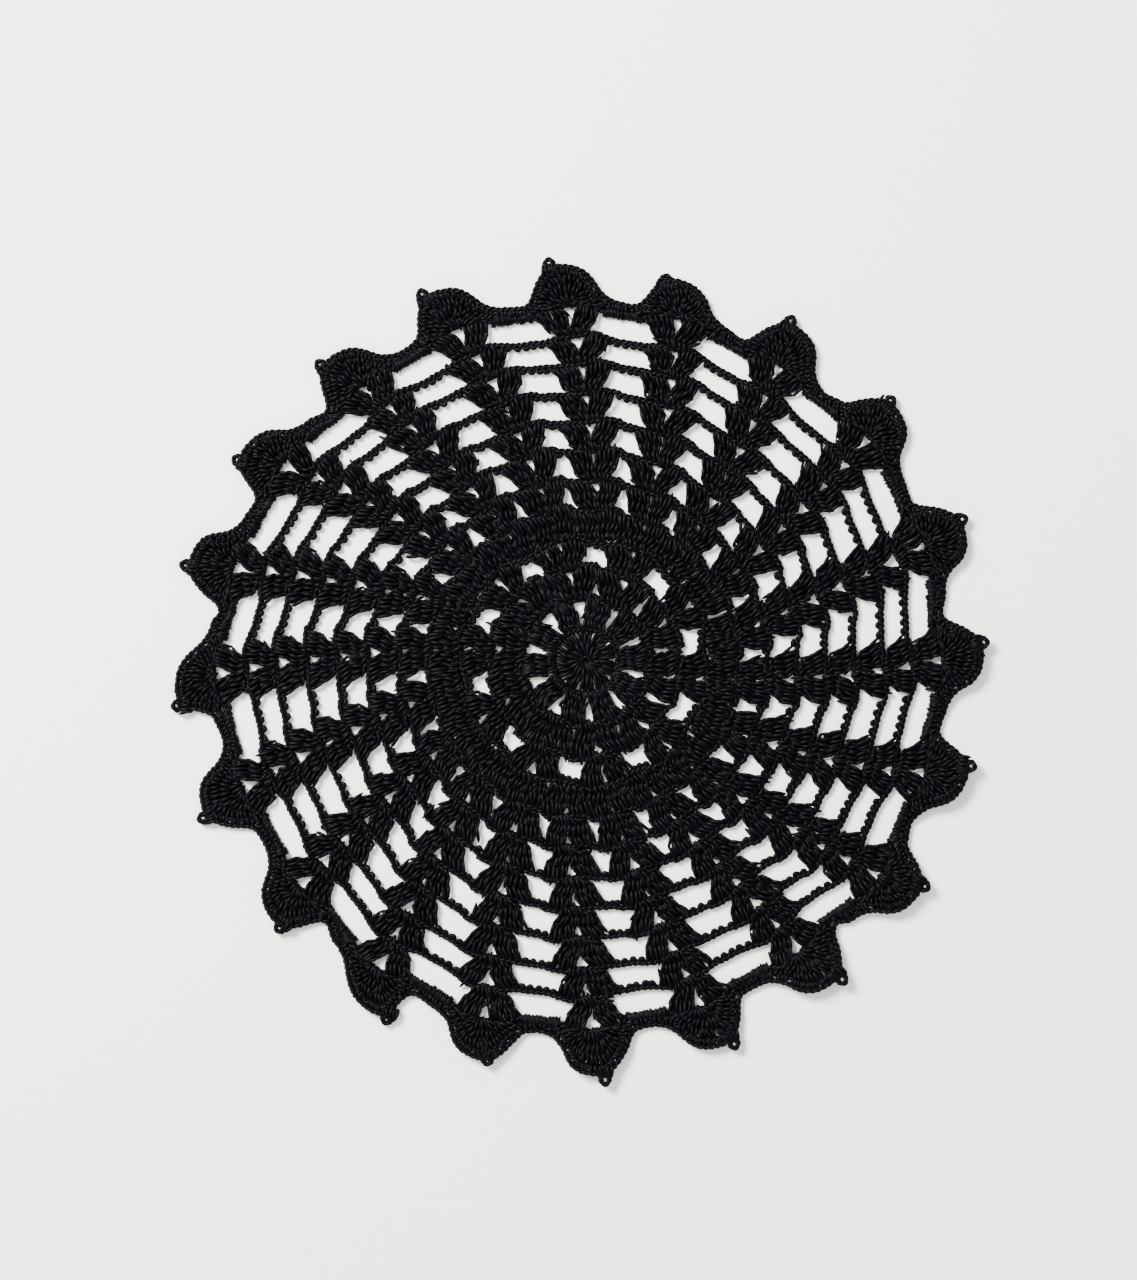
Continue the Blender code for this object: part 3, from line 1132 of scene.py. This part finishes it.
def pale_surface(stage):
    """Make the surface's material: plain, pale and faintly mottled."""
    nodes = Nodes("pale_surface")
    place = nodes.out(nodes.add("ShaderNodeTexCoord"), "Object")
    cloud = nodes.noise(place, SURFACE_MOTTLE, 2.0)
    colour = tuple(stage.floor_colour)
    darker = tuple(part * SURFACE_DARKER for part in colour)
    mottle = nodes.blend(cloud, (*colour, 1.0), (*darker, 1.0))
    values = {"Base Color": mottle, "Roughness": 0.9, "Specular IOR Level": 0.1}
    return nodes.finish(nodes.add("ShaderNodeBsdfPrincipled", None, values))


def finish_piece(yarn, name, settings):
    """Make a piece of the thread, give it its material, put it on the root body and hide the doily's
    solid part.
    """
    piece = yarn.make(name)
    piece.data.materials.append(black_cotton(settings.thread))
    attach(piece, "root")
    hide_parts(NODE)


class DOILY_OT_middle(bpy.types.Operator):
    """Crochet the ring, the first round and the closed rounds around it"""

    bl_idname = "doily.middle"
    bl_label = "Middle"

    def execute(self, context):
        settings = context.scene.doily
        yarn = Yarn(settings, SEED)
        coil = np.linspace(0, 4 * math.pi, RING_POINTS)
        ring = spot(np.degrees(coil), RING_MM + RING_WIDENS * coil)
        height = yarn.over - RING_DROP + RING_WAVE * np.cos(coil / 2)
        yarn.add(np.concatenate([ring, height[:, None]], axis=1)[None], FINE_STEP)
        angles = np.arange(FIRST_STRANDS) * 360 / FIRST_STRANDS
        half = 180 / FIRST_STRANDS
        yarn.add_strands(first_lines(angles), *FIRST_LOW)
        yarn.add_strands(first_lines(angles + half), *FIRST_LOW, underneath=True)
        groups = FIRST_TURN + np.arange(FIRST_GROUPS)[:, None] * 360 / FIRST_GROUPS
        over = (groups + FIRST_SPREAD * np.array([-1, 0, 1])).ravel()
        under = (groups + FIRST_SPREAD * np.array([-0.5, 0.5])).ravel()
        yarn.add_strands(first_lines(over), *FIRST_HIGH, lean=FIRST_LEAN)
        yarn.add_strands(first_lines(under), *FIRST_HIGH, underneath=True)
        yarn.add_cord(closed_line(spot(np.arange(0, 360, FIRST_CHAIN_STEP), FIRST_CHAIN)))
        for row in SHELLS[:MIDDLE_ROUNDS]:
            crochet_shells(yarn, row)
        finish_piece(yarn, "middle", settings)
        return {"FINISHED"}


class DOILY_OT_net(bpy.types.Operator):
    """Crochet the openwork rounds of shells and chain bars"""

    bl_idname = "doily.net"
    bl_label = "Openwork"

    def execute(self, context):
        settings = context.scene.doily
        for number, (name, first, past) in enumerate(NETS):
            yarn = Yarn(settings, SEED + 1 + number)
            for row in SHELLS[first:past]:
                crochet_shells(yarn, row)
            finish_piece(yarn, name, settings)
        return {"FINISHED"}


class DOILY_OT_border(bpy.types.Operator):
    """Crochet the fans, the single crochet between them, and the rim with its picots"""

    bl_idname = "doily.border"
    bl_label = "Fans and Rim"

    def execute(self, context):
        settings = context.scene.doily
        rim = rim_line()
        edge = moved_in(rim, FAN_IN)
        fans = Yarn(settings, SEED + 4)
        fans.fill(lambda shares: fan_lines(edge, shares), FAN_TIERS, FAN_UNDER)
        middles = np.arange(VALLEY_PAIRS)[:, None] + 0.5
        pairs = (middles + VALLEY_PAIR_SHARE * np.array([-1, 1])).ravel()
        fans.add_strands(valley_lines(edge, pairs / VALLEY_PAIRS), *VALLEY_REACH)
        shares = (np.arange(VALLEY_PAIRS + 1) + 0.5) / (VALLEY_PAIRS + 1)
        fans.add_strands(valley_lines(edge, shares), *VALLEY_REACH, underneath=True)
        fans.add_cord(edge)
        finish_piece(fans, "fans", settings)
        border = Yarn(settings, SEED + 5)
        for aside in RIM_ASIDE:
            border.add_strands(rim_lines(rim, aside * RIM_STRAND_MM), 0.0, 1.0)
        for aside in RIM_UNDER_ASIDE:
            border.add_strands(rim_lines(rim, aside * RIM_STRAND_MM), 0.0, 1.0, underneath=True)
        border.add_cord(moved_in(rim, RIM_CORD_IN), RIM_CORD_MM)
        border.fill(picot_lines, PICOT_TIERS, PICOT_UNDER)
        rings = [picot_ring(column, strand, border) for column in COLUMNS for strand in range(2)]
        border.add(np.array(rings), FINE_STEP, PICOT_THICKNESS)
        finish_piece(border, "rim", settings)
        return {"FINISHED"}


class DOILY_OT_stage(bpy.types.Operator):
    """Lay the doily on a pale surface, light it softly and look straight down at it"""

    bl_idname = "doily.stage"
    bl_label = "Stage"

    def execute(self, context):
        stage = context.scene.doily.stage
        mesh = bpy.data.meshes.new("surface")
        signs = ((-1, -1), (1, -1), (1, 1), (-1, 1))
        corners = [(x * SURFACE_HALF, y * SURFACE_HALF, 0.0) for x, y in signs]
        mesh.from_pydata(corners, [], [(0, 1, 2, 3)])
        mesh.materials.append(pale_surface(stage))
        surface = bpy.data.objects.new("surface", mesh)
        context.scene.collection.objects.link(surface)
        key = bpy.data.lights.new("window", "AREA")
        key.shape = "DISK"
        key.size = WINDOW_SIZE
        key.energy = stage.key_power
        key.color = WINDOW_COLOUR
        window = bpy.data.objects.new("window", key)
        window.location = WINDOW_PLACE
        window.rotation_euler = (-Vector(WINDOW_PLACE)).to_track_quat("-Z", "Y").to_euler()
        context.scene.collection.objects.link(window)
        world = bpy.data.worlds.new("room")
        world.use_nodes = True
        room = world.node_tree.nodes["Background"]
        room.inputs["Color"].default_value = ROOM_COLOUR
        room.inputs["Strength"].default_value = stage.sky_strength
        context.scene.world = world
        lens = bpy.data.cameras.new("camera")
        lens.sensor_fit = "VERTICAL"
        lens.angle_y = 2 * math.atan(VIEW_HIGH * MM / 2 / stage.camera_height)
        camera = bpy.data.objects.new("camera", lens)
        camera.location = (VIEW_X * MM, VIEW_Y * MM, stage.camera_height)
        context.scene.collection.objects.link(camera)
        context.scene.camera = camera
        return {"FINISHED"}


class DOILY_PT_panel(bpy.types.Panel):
    """Lists the steps that make the doily and its stage"""

    bl_idname = "DOILY_PT_panel"
    bl_label = "Crocheted Doily"
    bl_space_type = "VIEW_3D"
    bl_region_type = "UI"
    bl_category = "Doily"

    def draw(self, context):
        settings = context.scene.doily
        layout = self.layout
        for group in (settings.thread, settings.work, settings.stage):
            box = layout.box()
            for name in group.bl_rna.properties.keys():
                if name not in ("rna_type", "name"):
                    box.prop(group, name)
        for step in STEPS:
            layout.operator(step.bl_idname)


STEPS = (DOILY_OT_middle, DOILY_OT_net, DOILY_OT_border, DOILY_OT_stage)
CLASSES = (DoilyThread, DoilyWork, DoilyStage, DoilySettings, *STEPS, DOILY_PT_panel)


def register():
    for each in CLASSES:
        bpy.utils.register_class(each)
    bpy.types.Scene.doily = PointerProperty(type=DoilySettings)


def unregister():
    del bpy.types.Scene.doily
    for each in reversed(CLASSES):
        bpy.utils.unregister_class(each)


def main():
    register()
    bpy.ops.doily.middle()
    bpy.ops.doily.net()
    bpy.ops.doily.border()
    bpy.ops.doily.stage()


if __name__ == "__main__":
    main()
